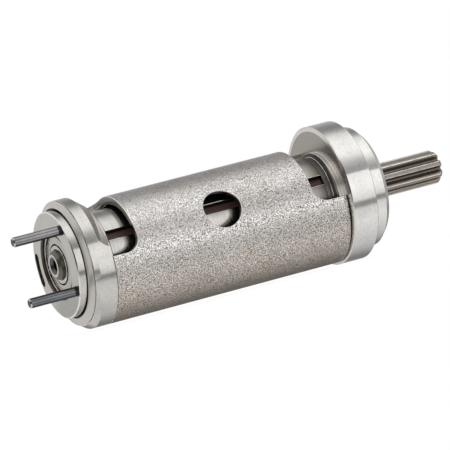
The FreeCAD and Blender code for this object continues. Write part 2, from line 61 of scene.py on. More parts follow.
# Sizes that the solids also have
FLANGE_RADIUS = 29.0
PILOT_RADIUS = 25.0
PILOT_LENGTH = 8.2
CYLINDER_RADIUS = 25.0
CYLINDER_DROP = 3.1
BORE_RADIUS = 20.148
BORE_CENTRE_Y = -2.113
BORE_CENTRE_Z = -1.837
ROTOR_RADIUS = 17.298
RUNNING_RADIUS = 16.798
RUNNING_DEPTH = (3.45, 4.55)
DOWEL_PITCH_RADIUS = 19.4
DOWEL_TURNS = (47.9, 128.1)
DOWEL_END_X = -152.35
DOWEL_RADIUS = 2.0
DOWEL_CHAMFER = 0.5
DOWEL_DEPTH = 12.0
PRESS_RADIUS = 2.2
BOSS_FACE_X = -131.35
BOSS_RADIUS = 21.9
BOSS_EDGE = 0.2
REAR_DISC_DROP = 0.38
REAR_FACE_X = -126.55
REAR_JOINT_X = -116.9
FRONT_JOINT_X = -11.2
INLET_RADIUS = 19.35
SHAFT_END_X = -132.45
SHAFT_RADIUS = 6.0
VANE_TURNS = [68.4 + 72.0 * index for index in range(5)]

# Bearings: name, rear face, outer radius, bore radius, width, balls
BEARINGS = [
    ("front", -2.0, 16.0, 7.5, 9.0, 9),
    ("rear", -130.25, 14.0, 6.0, 8.0, 8),
]
BALL_RADIUS = 2.38
RACE_SHOULDER = 1.7
SHIELD_SEAT = 0.8
RACE_NOTCH = 0.5

# Output pinion
TEETH = 8
MODULE = 1.5
PRESSURE_ANGLE = 20.0
PINION_X = 9.45
PINION_LENGTH = 33.5
PINION_TIP_RADIUS = 7.0
PINION_ROOT_RADIUS = 4.25
FLANK_FOOT_RADIUS = 5.2
PINION_CHAMFER = 1.3
PINION_TURN = 83.0

# Retaining ring in front of the front bearing
RING_X = 7.0
RING_THICKNESS = 1.0
RING_INNER_RADIUS = 7.15
RING_WIDTH = 2.2
RING_GAP_DEGREES = 50.0

# Degrees between two faces: edges sharper than SHARP are rounded, and smooth shading breaks past a crease
SHARP = 55.0
CREASE = 33.5
TURNED_CREASE = 40.0
PINION_CREASE = 30.0

# Points nearer than this, in metres, are one: in a solid's mesh, and where two teeth join
SOLID_WELD = 0.000002
TOOTH_WELD = 0.000005

# Widths of rounded edges
WINDOW_ROUND = 0.30
BORE_WINDOW_ROUND = 0.20
ROTOR_ROUND = 0.16
PLATE_ROUND = 0.12
RACE_ROUND = 0.12
VANE_ROUND = 0.10

# The boss's edge, broken wider than the solid's: how far it goes in radius and along the axis
BOSS_RIM_DROP = 0.5
BOSS_RIM_DEPTH = 0.4

BODY_OF = {
    node: body for body, nodes in frame["record"]["behaviour"]["bodies"].items() for node in nodes
}


def around(x, radius, turn):
    """Point in metres at a radius and turn about the rotor axis."""
    angle = math.radians(turn)
    return Vector((x, -radius * math.sin(angle), radius * math.cos(angle))) * MM


# ---------------------------------------------------------------- node helpers

def new_material(name):
    material = bpy.data.materials.new(name)
    material.use_nodes = True
    material.node_tree.nodes.clear()
    return material, material.node_tree


def feed(tree, socket, value):
    """Link a socket or set its value. Colours are written as three numbers and get their alpha here."""
    if isinstance(value, bpy.types.NodeSocket):
        tree.links.new(value, socket)
    elif value is not None:
        socket.default_value = (*value, 1.0) if socket.type == "RGBA" else value


def add(tree, kind, inputs=None, **settings):
    """New node, with its properties set and its inputs fed by name or number."""
    node = tree.nodes.new(kind)
    for key, value in settings.items():
        setattr(node, key, value)
    for key, value in (inputs or {}).items():
        feed(tree, node.inputs[key], value)
    return node


def maths(tree, operation, first, second=None, third=None, clamp=False):
    inputs = {0: first, 1: second, 2: third}
    return add(tree, "ShaderNodeMath", inputs, operation=operation, use_clamp=clamp).outputs[0]


def times(tree, product, *factors):
    for factor in factors:
        product = maths(tree, "MULTIPLY", product, factor)
    return product


def ramp(tree, value, stops):
    """Colour by position; the stops are in the order of their positions."""
    node = add(tree, "ShaderNodeValToRGB", {0: value})
    elements = node.color_ramp.elements
    while len(elements) < len(stops):
        elements.new(0.5)
    for element, (position, colour) in zip(elements, stops):
        element.position = position
        element.color = (*colour, 1.0)
    return node.outputs[0]


def grey(level):
    return (level, level, level)


def levels(tree, value, *stops):
    """Ramp between greys, from (position, level) stops."""
    return ramp(tree, value, [(position, grey(level)) for position, level in stops])


def mix_colour(tree, share, first, second, blend="MIX"):
    inputs = {0: share, 6: first, 7: second}
    return add(tree, "ShaderNodeMix", inputs, data_type="RGBA", blend_type=blend).outputs[2]


def stained(tree, colour, stain):
    """Product of two colours."""
    return mix_colour(tree, 1.0, colour, stain, "MULTIPLY")


def place(tree):
    return add(tree, "ShaderNodeTexCoord").outputs["Object"]


def noise(tree, vector, scale, detail, roughness):
    inputs = {"Vector": vector, "Scale": scale, "Detail": detail, "Roughness": roughness}
    return add(tree, "ShaderNodeTexNoise", inputs).outputs["Fac"]


def bump(tree, height, distance, strength=1.0):
    inputs = {"Height": height, "Distance": distance, "Strength": strength}
    return add(tree, "ShaderNodeBump", inputs).outputs["Normal"]


def combine(tree, *values):
    return add(tree, "ShaderNodeCombineXYZ", dict(enumerate(values))).outputs[0]


def separate(tree, vector):
    return add(tree, "ShaderNodeSeparateXYZ", {0: vector}).outputs


def lathe_place(tree, centre_y=0.0, centre_z=0.0):
    """(x, radius, turn) of a point about an axis along X, which is what marks left by turning follow."""
    x, y, z = separate(tree, place(tree))
    width = maths(tree, "SUBTRACT", y, centre_y * MM)
    height = maths(tree, "SUBTRACT", z, centre_z * MM)
    square = maths(tree, "ADD", times(tree, width, width), times(tree, height, height))
    turn = maths(tree, "ARCTAN2", times(tree, width, -1.0), height)
    return x, maths(tree, "SQRT", square), turn


def share_of_turn(tree, turn):
    """0 at the bottom, 0.25 on the far side, 0.5 at the top, 0.75 on the near side and 1 at the bottom."""
    return maths(tree, "MULTIPLY_ADD", turn, 0.5 / math.pi, 0.5)


def within(tree, value, low, high):
    """1 where a value in metres lies between two bounds in millimetres."""
    return maths(tree, "COMPARE", value, (low + high) / 2 * MM, (high - low) / 2 * MM)


def band(tree, x, stations, radius, radii):
    """1 between two stations along an axis and two radii from it, in millimetres.

    The bounds that the zones below give lie a little beyond the surfaces that they take in.
    """
    return times(tree, within(tree, x, *stations), within(tree, radius, *radii))


def near_turn(tree, turn, middle, reach):
    """1 where a turn is within a number of degrees of another."""
    return maths(tree, "COMPARE", turn, math.radians(middle), math.radians(reach))


def clouded(tree, cloud, tone, depth):
    """A tone with patches that are darker by a share of it."""
    dark = tuple((1.0 - depth) * level for level in tone)
    return mix_colour(tree, levels(tree, cloud, (0.35, 0.0), (0.65, 1.0)), dark, tone)


def lay_zones(tree, zones, spot, marks, colour, roughness):
    """Faces with a finish of their own: zones(tree, x, radius, turn) lists (share, tone, roughness)."""
    for share, tone, rough in (zones(tree, *spot) if zones else ()):
        colour = mix_colour(tree, share, colour, stained(tree, marks, tone))
        roughness = mix_colour(tree, share, roughness, grey(rough))
    return colour, roughness


def rub_edges(tree, colour, roughness, edge_tone, edge_rough):
    """Bare, rubbed metal on the rounded edges of a piece, broken up a little."""
    mark = add(tree, "ShaderNodeAttribute", attribute_name="edge_wear").outputs["Fac"]
    patches = noise(tree, place(tree), 500.0, 2.0, 0.6)
    wear = times(tree, mark, levels(tree, patches, (0.30, 0.35), (0.50, 1.0)))
    return mix_colour(tree, wear, colour, edge_tone), mix_colour(tree, wear, roughness, grey(edge_rough))


def finish_surface(material, tree, colour, roughness, normal, metallic=1.0):
    inputs = {"Base Color": colour, "Metallic": metallic, "Roughness": roughness, "Normal": normal}
    shader = add(tree, "ShaderNodeBsdfPrincipled", inputs)
    add(tree, "ShaderNodeOutputMaterial", {0: shader.outputs[0]})
    return material


# ---------------------------------------------------------------- finishes

def blasted_iron():
    """Cylinder: sand-blasted outside with painted shade on its lower side, milled openings painted darker
    towards the bore as shade, a honed bore painted dark as shade, worn edges.
    """
    material, tree = new_material("blasted_iron")
    point = place(tree)
    x, radius, turn = lathe_place(tree, 0.0, -CYLINDER_DROP)
    _, bore_radius, bore_turn = lathe_place(tree, BORE_CENTRE_Y, BORE_CENTRE_Z)
    grain = noise(tree, point, 3300.0, 0.0, 0.5)
    pits = noise(tree, point, 2200.0, 1.0, 0.6)
    cloud = noise(tree, point, 55.0, 3.0, 0.55)
    clouds = levels(tree, cloud, (0.35, 0.0), (0.65, 1.0))
    colour = mix_colour(tree, clouds, (0.71, 0.665, 0.630), (0.81, 0.770, 0.740))
    specks = levels(tree, grain, (0.30, 0.14), (0.43, 0.70), (0.55, 1.10), (0.70, 1.50))
    colour = stained(tree, colour, specks)
    colour = stained(tree, colour, levels(tree, pits, (0.31, 0.46), (0.40, 1.0)))

    # Painted shade darkens and warms the lower side
    drift = maths(tree, "SUBTRACT", cloud, 0.5)
    share = maths(tree, "MULTIPLY_ADD", drift, 0.06, share_of_turn(tree, turn))
    lower_side_shade = ramp(tree, share, [
        (0.02, (0.62, 0.56, 0.49)), (0.10, (0.80, 0.76, 0.72)), (0.20, (1.0, 1.0, 1.0)),
        (0.76, (1.0, 1.0, 1.0)), (0.83, (0.86, 0.835, 0.80)), (0.90, (0.73, 0.69, 0.635)),
        (0.95, (0.64, 0.585, 0.52)), (1.0, (0.60, 0.54, 0.47)),
    ])
    colour = stained(tree, colour, lower_side_shade)
    roughness = levels(tree, grain, (0.3, 0.44), (0.7, 0.20))

    # Openings: milled walls, with painted shade darkening them towards the bore; depth is 0 at the bore and
    # 1 four millimetres out
    inside = maths(tree, "LESS_THAN", radius, (CYLINDER_RADIUS - 0.22) * MM)
    path = combine(tree, times(tree, x, 420.0), times(tree, radius, 2600.0), turn)
    marks = levels(tree, noise(tree, path, 1.0, 2.0, 0.6), (0.36, 0.0), (0.62, 1.0))
    milled = mix_colour(tree, marks, (0.13, 0.12, 0.105), (0.42, 0.40, 0.365))
    depth = maths(tree, "MULTIPLY_ADD", bore_radius, 250.0, -BORE_RADIUS * 0.25)
    wall_shade = levels(tree, depth, (0.0, 0.22), (0.30, 0.38), (0.42, 0.95), (1.0, 1.0))
    colour = mix_colour(tree, inside, colour, stained(tree, milled, wall_shade))
    roughness = mix_colour(tree, inside, roughness, grey(0.30))

    # Bore: honed, with slanting scratches, painted dark as shade
    honed = within(tree, bore_radius, BORE_RADIUS - 0.2, BORE_RADIUS + 0.02)
    slant = maths(tree, "MULTIPLY_ADD", bore_turn, 20.0, times(tree, x, 900.0))
    scratches = noise(tree, combine(tree, slant, times(tree, x, 4.0)), 3.0, 2.0, 0.6)
    scratched_bore_shade = mix_colour(tree, scratches, (0.13, 0.105, 0.085), (0.26, 0.225, 0.19))
    colour = mix_colour(tree, honed, colour, scratched_bore_shade)
    roughness = mix_colour(tree, honed, roughness, grey(0.22))

    colour, roughness = rub_edges(tree, colour, roughness, (0.93, 0.92, 0.89), 0.20)
    outside = maths(tree, "SUBTRACT", 1.0, inside)
    sand = maths(tree, "ADD", times(tree, grain, 0.7), times(tree, pits, 0.6))
    normal = bump(tree, times(tree, outside, sand), 0.00013, 0.9)
    return finish_surface(material, tree, colour, roughness, normal)


def turned_steel(name, tone, rough, zones):
    """Plates and shields: fine rings left by the turning tool, small flecks and faint clouds."""
    material, tree = new_material(name)
    spot = lathe_place(tree)
    rings = noise(tree, combine(tree, *spot[:2]), 2600.0, 3.0, 0.7)
    stain = noise(tree, place(tree), 110.0, 4.0, 0.6)
    fleck = noise(tree, place(tree), 900.0, 2.0, 0.5)
    marks = maths(tree, "MULTIPLY_ADD", rings, 0.45, times(tree, fleck, 0.55))
    marks = levels(tree, marks, (0.34, 0.90), (0.62, 1.05))
    colour = stained(tree, clouded(tree, stain, tone, 0.10), marks)
    spread = maths(tree, "MULTIPLY_ADD", fleck, 0.4, times(tree, stain, 0.6))
    roughness = levels(tree, spread, (0.3, rough - 0.03), (0.7, rough + 0.05))
    colour, roughness = lay_zones(tree, zones, spot, marks, colour, roughness)
    colour, roughness = rub_edges(tree, colour, roughness, (0.94, 0.93, 0.91), 0.16)
    return finish_surface(material, tree, colour, roughness, bump(tree, rings, 0.0000015))


def ground_steel(
    name, tone, rough, zones=None, edge_tone=(0.93, 0.92, 0.90), clouds=0.12, marks_depth=0.000004,
    centre=(0.0, 0.0),
):
    """Shafts, pins and rings: fine marks around an axis, whose y and z are its centre, and faint clouds."""
    material, tree = new_material(name)
    x, radius, turn = spot = lathe_place(tree, *centre)
    path = combine(tree, times(tree, x, 3200.0), times(tree, radius, 3200.0), times(tree, turn, 2.0))
    marks = noise(tree, path, 1.0, 2.0, 0.6)
    cloud = noise(tree, place(tree), 140.0, 3.0, 0.6)
    lines = levels(tree, marks, (0.3, 0.88), (0.65, 1.05))
    colour = stained(tree, clouded(tree, cloud, tone, clouds), lines)
    roughness = levels(tree, marks, (0.3, rough + 0.06), (0.7, rough - 0.04))
    colour, roughness = lay_zones(tree, zones, spot, lines, colour, roughness)
    colour, roughness = rub_edges(tree, colour, roughness, edge_tone, 0.15)
    return finish_surface(material, tree, colour, roughness, bump(tree, marks, marks_depth))


def rear_plate_zones(tree, x, radius, turn):
    """Matter coned face and boss face; painted shade in the grooves, on the seat's wall and on the relief;
    an olive tone in the inlet.
    """
    _, rim_radius, rim_turn = lathe_place(tree, 0.0, -REAR_DISC_DROP)
    boss, disc, joint = BOSS_FACE_X, REAR_FACE_X, REAR_JOINT_X
    cone = band(tree, x, (disc - 1.6, disc + 0.02), radius, (BOSS_RADIUS + 0.3, 27.0))
    face = within(tree, x, boss - 0.1, boss + 0.02)
    rim_groove = band(tree, x, (disc - 0.03, disc + 0.53), rim_radius, (24.0, 25.7))
    root_groove = band(tree, x, (disc - 1.63, disc - 0.85), radius, (21.4, 22.66))
    seat_wall = band(tree, x, (boss + 0.03, boss + 9.0), radius, (13.9, 15.0))
    inlet = band(tree, x, (boss + 0.25, joint - 0.1), radius, (INLET_RADIUS - 1.95, INLET_RADIUS + 1.95))
    relief = band(tree, x, (joint - 4.3, joint - 0.03), rim_radius, (21.5, 25.62))
    relief = times(tree, relief, near_turn(tree, rim_turn, 20.0, 63.0))
    # Painted shade at the top and the bottom of the groove around the boss; the boss's face is darker low
    # down
    share = share_of_turn(tree, turn)
    groove_shade_ends = levels(
        tree, share, (0.0, 1.0), (0.10, 0.3), (0.42, 0.3), (0.50, 1.0), (0.56, 1.0), (0.62, 0.15),
        (0.86, 0.15), (0.91, 1.0), (1.0, 1.0),
    )
    low = levels(tree, share, (0.0, 1.0), (0.06, 1.0), (0.14, 0.0), (0.79, 0.0), (0.90, 1.0), (1.0, 1.0))
    # Painted shade: the relief, the seat's wall and both grooves, darkest at the groove's top and bottom
    return [
        (cone, (0.70, 0.67, 0.62), 0.34),
        (face, (0.62, 0.60, 0.56), 0.30),
        (times(tree, face, low), (0.45, 0.44, 0.40), 0.30),
        (relief, (0.46, 0.44, 0.40), 0.26),
        (seat_wall, (0.13, 0.11, 0.095), 0.30),
        (inlet, (0.55, 0.53, 0.42), 0.30),
        (rim_groove, (0.05, 0.035, 0.03), 0.45),
        (root_groove, (0.26, 0.25, 0.23), 0.40),
        (times(tree, root_groove, groove_shade_ends), (0.03, 0.025, 0.02), 0.45),
    ]


def front_plate_zones(tree, x, radius, turn):
    """The flange's rear face darker; painted shade on the step and in the pilot's corner; a clean rim and
    spigot.
    """
    _, bore_radius, _ = lathe_place(tree, BORE_CENTRE_Y, BORE_CENTRE_Z)
    joint, rim = FRONT_JOINT_X, FLANGE_RADIUS
    rear_face = band(tree, x, (joint - 0.03, joint + 0.03), radius, (15.0, rim - 1.9))
    outer_face = band(tree, x, (joint - 0.03, joint + 0.03), radius, (rim - 1.9, rim))
    rear_edge = band(tree, x, (joint + 0.03, joint + 0.45), radius, (rim - 0.7, rim + 0.05))
    spigot = band(tree, x, (joint - 1.95, joint - 0.03), bore_radius, (19.8, 20.2))
    step = band(tree, x, (joint - 4.6, joint - 1.8), radius, (8.0, 19.9))
    corner = band(tree, x, (-0.03, 0.30), radius, (PILOT_RADIUS - 0.15, PILOT_RADIUS + 0.25))
    front_face = band(tree, x, (PILOT_LENGTH - 0.05, PILOT_LENGTH + 0.05), radius, (16.0, PILOT_RADIUS))
    # The step and the pilot's corner are painted shade
    return [
        (rear_face, (0.40, 0.375, 0.34), 0.26),
        (outer_face, (0.80, 0.78, 0.74), 0.28),
        (rear_edge, (0.78, 0.76, 0.72), 0.16),
        (spigot, (0.90, 0.88, 0.85), 0.20),
        (step, (0.20, 0.19, 0.18), 0.35),
        (corner, (0.10, 0.08, 0.06), 0.40),
        (front_face, (0.72, 0.70, 0.66), 0.27),
    ]


def shield_zones(tree, x, radius, turn):
    """Painted shade in the groove near each shield's rim and at the lip of the rear one, and dark around
    the rear one's tab.
    """
    rear, front = (BOSS_FACE_X, BOSS_FACE_X + 12.0), (-3.0, 9.0)
    groove = band(tree, x, rear, radius, (11.5, 12.6))
    front_groove = band(tree, x, front, radius, (13.2, 14.4))
    tab = times(tree, band(tree, x, rear, radius, (10.35, 11.6)), near_turn(tree, turn, -32.0, 1.6))
    lip = band(tree, x, rear, radius, (8.0, 8.56))
    # The grooves and the lip are painted shade
    return [
        (groove, (0.07, 0.055, 0.045), 0.40), (front_groove, (0.09, 0.08, 0.07), 0.40),
        (tab, (0.07, 0.055, 0.045), 0.40), (lip, (0.10, 0.08, 0.065), 0.40),
    ]


def rotor_zones(tree, x, radius, turn):
    """Painted shade on the sides of the shaft's rear end, in its centre hole, in the slots and on the
    running surface near the front plate.
    """
    side = band(tree, x, (SHAFT_END_X - 0.1, SHAFT_END_X + 4.0), radius, (4.7, SHAFT_RADIUS + 0.1))
    hole = band(tree, x, (SHAFT_END_X - 0.1, SHAFT_END_X + 14.0), radius, (0.0, 3.62))
    ends = (REAR_JOINT_X + RUNNING_DEPTH[0], FRONT_JOINT_X - RUNNING_DEPTH[1])
    slots = band(tree, x, ends, radius, (5.0, ROTOR_RADIUS - 0.45))
    # Painted shade darkens the running surface towards the front plate; along is the share of the
    # cylinder's length
    length = FRONT_JOINT_X - REAR_JOINT_X
    along = maths(tree, "DIVIDE", maths(tree, "SUBTRACT", x, REAR_JOINT_X * MM), length * MM)
    front_end_shade = levels(tree, along, (0.79, 0.0), (0.88, 0.22), (0.955, 1.0))
    surface = times(tree, within(tree, radius, ROTOR_RADIUS - 0.45, ROTOR_RADIUS + 0.1), front_end_shade)
    return [
        (surface, (0.13, 0.11, 0.09), 0.30),
        (side, (0.19, 0.175, 0.15), 0.34),
        (hole, (0.14, 0.13, 0.115), 0.30),
        (slots, (0.12, 0.11, 0.10), 0.40),
    ]


def pinion_zones(tree, x, radius, turn):
    """Darker in the tooth spaces and on the core's end faces."""
    return [(within(tree, radius, 0.0, FLANK_FOOT_RADIUS + 0.25), (0.20, 0.17, 0.145), 0.36)]


def pin_zones(top):
    """Painted shade along the underside and the top down to a turn, a black ring of painted shade at the
    boss, and a dull end face painted dark as shade.
    """

    def zones(tree, x, radius, turn):
        pin_shade = levels(
            tree, share_of_turn(tree, turn), (0.48, 0.9), (0.5 + (top - 14.0) / 360.0, 0.9),
            (0.5 + top / 360.0, 0.0), (0.835, 0.0), (0.875, 0.85), (1.0, 0.9),
        )
        root = within(tree, x, BOSS_FACE_X - 1.5, BOSS_FACE_X + 0.5)
        end_radius = DOWEL_RADIUS - DOWEL_CHAMFER - 0.05
        end = band(tree, x, (DOWEL_END_X - 0.05, DOWEL_END_X + 0.05), radius, (0.0, end_radius))
        return [
            (pin_shade, (0.05, 0.045, 0.045), 0.24),
            (root, (0.035, 0.03, 0.03), 0.30),
            (end, (0.10, 0.09, 0.085), 0.38),
        ]

    return zones


def pin_steel(name, turn):
    """A drive pin's steel; the lower pin is painted darker as shaded, and the upper one has less painted
    shade on its top.
    """
    centre = around(0.0, DOWEL_PITCH_RADIUS, turn) / MM
    top, tone = (18.0, (0.36, 0.345, 0.35)) if turn < 90.0 else (62.0, (0.21, 0.22, 0.23))
    edge_tone = (0.66, 0.65, 0.64)
    return ground_steel(name, tone, 0.13, pin_zones(top), edge_tone, 0.25, 0.000001, centre[1:])


def bearing_steel(name, start, outer, width):
    """Bearing rings: painted shade where the outer ring's rim meets its seat and in the gap beside the
    shields.
    """

    def zones(tree, x, radius, turn):
        rim = within(tree, radius, outer - 0.52, outer + 0.1)
        gap = band(tree, x, (start + 0.08, start + width - 0.08), radius, (7.0, 13.4))
        return [(rim, (0.14, 0.12, 0.10), 0.32), (gap, (0.07, 0.055, 0.045), 0.40)]

    return ground_steel(name, (0.62, 0.61, 0.58), 0.14, zones, marks_depth=0.000002)


def laminate(name, turn):
    """Vane: cloth laminate, dark reddish brown, its layers parallel to its faces."""
    material, tree = new_material(name)
    upright = (math.radians(-turn), 0.0, 0.0)
    point = add(tree, "ShaderNodeMapping", {"Vector": place(tree), "Rotation": upright}).outputs[0]
    x, across, height = separate(tree, point)
    path = combine(tree, times(tree, x, 60.0), times(tree, across, 4200.0), times(tree, height, 90.0))
    layers = noise(tree, path, 1.0, 3.0, 0.6)
    inputs = {"Vector": point, "Scale": 380.0, "Distortion": 1.5}
    weave = add(tree, "ShaderNodeTexWave", inputs, wave_type="BANDS", bands_direction="X")
    oil = noise(tree, place(tree), 70.0, 3.0, 0.6)
    colour = ramp(tree, layers, [
        (0.30, (0.055, 0.028, 0.022)), (0.50, (0.130, 0.068, 0.053)), (0.72, (0.215, 0.120, 0.094)),
    ])
    colour = mix_colour(tree, 0.18, colour, weave.outputs["Color"], "MULTIPLY")
    colour = stained(tree, colour, levels(tree, oil, (0.35, 0.75), (0.6, 1.0)))
    # Painted shade: black along the two edges of the tip, where the slot's walls shade it
    edge = maths(tree, "GREATER_THAN", maths(tree, "ABSOLUTE", across), 1.72 * MM)
    colour = mix_colour(tree, edge, colour, (0.022, 0.014, 0.012))
    roughness = levels(tree, oil, (0.35, 0.34), (0.65, 0.52))
    return finish_surface(material, tree, colour, roughness, bump(tree, layers, 0.00003, 0.6), 0.0)


IRON = blasted_iron()
FRONT_STEEL = turned_steel("front_plate_steel", (0.83, 0.815, 0.79), 0.08, front_plate_zones)
REAR_STEEL = turned_steel("rear_plate_steel", (0.68, 0.66, 0.62), 0.11, rear_plate_zones)
SHIELD_STEEL = turned_steel("shield_steel", (0.60, 0.58, 0.50), 0.30, shield_zones)
ROTOR_STEEL = ground_steel("rotor_steel", (0.65, 0.63, 0.60), 0.19, rotor_zones)
PINION_STEEL = ground_steel("pinion_steel", (0.33, 0.295, 0.26), 0.30, pinion_zones, (0.80, 0.77, 0.72))
BALL_STEEL = ground_steel("ball_steel", (0.78, 0.78, 0.78), 0.07, marks_depth=0.0)
CAGE_BRASS = ground_steel("cage_brass", (0.72, 0.56, 0.30), 0.30)
RING_STEEL = ground_steel("ring_steel", (0.16, 0.16, 0.17), 0.42, edge_tone=(0.34, 0.34, 0.35))
LOCATOR_STEEL = ground_steel("locator_steel", (0.66, 0.66, 0.66), 0.22)


# ---------------------------------------------------------------- mesh helpers

def to_mesh(shape, name):
    mesh = bpy.data.meshes.new(name)
    shape.to_mesh(mesh)
    shape.free()
    return mesh


def new_piece(name, mesh, material):
    piece = bpy.data.objects.new(name, mesh)
    bpy.context.scene.collection.objects.link(piece)
    mesh.materials.clear()
    mesh.materials.append(material)
    return piece


def to_piece(shape, name, material):
    """Piece from a finished shape, without the shading directions that a solid's mesh was packed with."""
    mesh = to_mesh(shape, name)
    packed = mesh.attributes.get("custom_normal")
    if packed:
        mesh.attributes.remove(packed)
    return new_piece(name, mesh, material)


def crease(shape, angle=CREASE):
    """Smooth shading, broken where two faces meet at more than an angle and beside rounded edges."""
    limit = math.radians(angle)
    wear = shape.faces.layers.float.get("edge_wear")
    for face in shape.faces:
        face.smooth = True
    for edge in shape.edges:
        sides = edge.link_faces
        edge.smooth = len(sides) == 2 and edge.calc_face_angle(0.0) < limit
        if edge.smooth and wear is not None:
            edge.smooth = sides[0][wear] == sides[1][wear]


def round_edges(shape, width, least, pick):
    """Round the edges sharper than least degrees whose two ends pick(x, y, z) takes, in millimetres."""
    wear = shape.faces.layers.float["edge_wear"]
    lines = [
        line for line in shape.edges
        if len(line.link_faces) == 2 and line.calc_face_angle(0.0) > math.radians(least)
        and all(pick(*(end.co / MM)) for end in line.verts)
    ]
    rounded = bmesh.ops.bevel(
        shape, geom=lines, offset=width * MM, offset_type="OFFSET", segments=3, profile=0.5,
        affect="EDGES", clamp_overlap=True,
    )
    for face in rounded["faces"]:
        face[wear] = 1.0


def solid_copy(node, joined=True):
    """Merged copy of a solid, with its flat faces in one piece if joined."""
    shape = bmesh.new()
    shape.from_mesh(frame["nodes"][node].data)
    bmesh.ops.remove_doubles(shape, verts=shape.verts, dist=SOLID_WELD)
    if joined:
        flat = math.radians(0.05)
        bmesh.ops.dissolve_limit(shape, angle_limit=flat, verts=shape.verts, edges=shape.edges)
    shape.faces.layers.float.new("edge_wear")
    return shape


def join_rings(shape, first, second):
    """Faces all round between two rings of vertices."""
    return [
        shape.faces.new((first[step - 1], first[step], second[step], second[step - 1]))
        for step in range(len(first))
    ]


def dress(piece, node):
    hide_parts(node)
    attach(piece, BODY_OF[node])


def everywhere(x, y, z):
    return True


def dress_copy(node, name, material, rounds=(), shape_up=None, joined=True):
    """Dress a solid with a copy of itself; rounds lists (width, least angle, pick) for round_edges."""
    shape = solid_copy(node, joined)
    if shape_up:
        shape_up(shape)
    for width, least, pick in rounds:
        round_edges(shape, width, least, pick)
    crease(shape)
    dress(to_piece(shape, name, material), node)


def revolved(name, outline, material, steps=96):
    """Ring turned about the rotor axis from a closed outline of (x, radius) points in millimetres."""
    shape = bmesh.new()
    rings = [
        [shape.verts.new(around(x, radius, 360.0 * step / steps)) for x, radius in outline]
        for step in range(steps)
    ]
    for step in range(steps):
        join_rings(shape, rings[step - 1], rings[step])
    bmesh.ops.recalc_face_normals(shape, faces=shape.faces)
    crease(shape, TURNED_CREASE)
    return to_piece(shape, name, material)


def drive_pin(side, turn, steps=48):
    """Pin turned about its own axis, with a chamfered free end and a thicker part pressed into the boss."""
    profile = [
        (DOWEL_END_X, DOWEL_RADIUS - DOWEL_CHAMFER), (DOWEL_END_X + DOWEL_CHAMFER, DOWEL_RADIUS),
        (BOSS_FACE_X, DOWEL_RADIUS), (BOSS_FACE_X, PRESS_RADIUS), (BOSS_FACE_X + DOWEL_DEPTH, PRESS_RADIUS),
    ]
    centre = around(0.0, DOWEL_PITCH_RADIUS, turn)
    shape = bmesh.new()
    wear = shape.faces.layers.float.new("edge_wear")
    rings = [
        [shape.verts.new(centre + around(x, radius, 360.0 * step / steps)) for step in range(steps)]
        for x, radius in profile
    ]
    for number, (first, second) in enumerate(zip(rings, rings[1:])):
        for face in join_rings(shape, first, second):
            face[wear] = 1.0 if number == 0 else 0.0
    shape.faces.new(rings[0])
    shape.faces.new(list(reversed(rings[-1])))
    bmesh.ops.recalc_face_normals(shape, faces=shape.faces)
    crease(shape, TURNED_CREASE)
    piece = to_piece(shape, side + "_pin", pin_steel(side + "_pin_steel", turn))
    dress(piece, side + "_dowel_pin")


# ---------------------------------------------------------------- geometry trees

def new_tree(name, inputs):
    """Geometry tree with named inputs, whose sockets are returned by name."""
    tree = bpy.data.node_groups.new(name, "GeometryNodeTree")
    tree.interface.new_socket("Geometry", in_out="OUTPUT", socket_type="NodeSocketGeometry")
    tree.interface.new_socket("Geometry", in_out="INPUT", socket_type="NodeSocketGeometry")
    for label, kind in inputs.items():
        tree.interface.new_socket(label, in_out="INPUT", socket_type="NodeSocket" + kind)
    return tree, add(tree, "NodeGroupInput").outputs


def end_tree(tree, geometry, material, merge=None):
    """Realize the copies, join what touches, set the material."""
    result = add(tree, "GeometryNodeRealizeInstances", {0: geometry}).outputs[0]
    if merge:
        inputs = {"Geometry": result, "Distance": merge}
        result = add(tree, "GeometryNodeMergeByDistance", inputs).outputs[0]
    coat = add(tree, "GeometryNodeSetMaterial", {"Geometry": result, "Material": material})
    add(tree, "NodeGroupOutput", {0: coat.outputs[0]})
    return tree


def grow(piece, tree, values):
    """Run a geometry tree on a piece and keep the result as its plain mesh."""
    modifier = piece.modifiers.new("geometry", "NODES")
    modifier.node_group = tree
    for item in tree.interface.items_tree:
        if item.item_type == "SOCKET" and item.in_out == "INPUT" and item.name in values:
            modifier[item.identifier] = values[item.name]
    graph = bpy.context.evaluated_depsgraph_get()
    grown = piece.evaluated_get(graph)
    mesh = bpy.data.meshes.new_from_object(grown, preserve_all_data_layers=True, depsgraph=graph)
    piece.modifiers.clear()
    piece.data = mesh


def ball_row_tree():
    """Balls evenly spaced on a circle about the rotor axis."""
    tree, given = new_tree("ball_row", {
        "Count": "Int", "Pitch Radius": "Float", "Ball Radius": "Float", "Station": "Float",
        "Material": "Material",
    })
    inputs = {"Vertices": given["Count"], "Radius": given["Pitch Radius"]}
    circle = add(tree, "GeometryNodeMeshCircle", inputs)
    stand = add(tree, "GeometryNodeTransform", {
        "Geometry": circle.outputs[0], "Translation": combine(tree, given["Station"]),
        "Rotation": (0.0, -math.pi / 2, 0.0),
    })
    inputs = {"Segments": 40, "Rings": 20, "Radius": given["Ball Radius"]}
    ball = add(tree, "GeometryNodeMeshUVSphere", inputs)
    smooth = add(tree, "GeometryNodeSetShadeSmooth", {0: ball.outputs[0]})
    inputs = {"Points": stand.outputs[0], "Instance": smooth.outputs[0]}
    row = add(tree, "GeometryNodeInstanceOnPoints", inputs)
    return end_tree(tree, row.outputs[0], given["Material"])


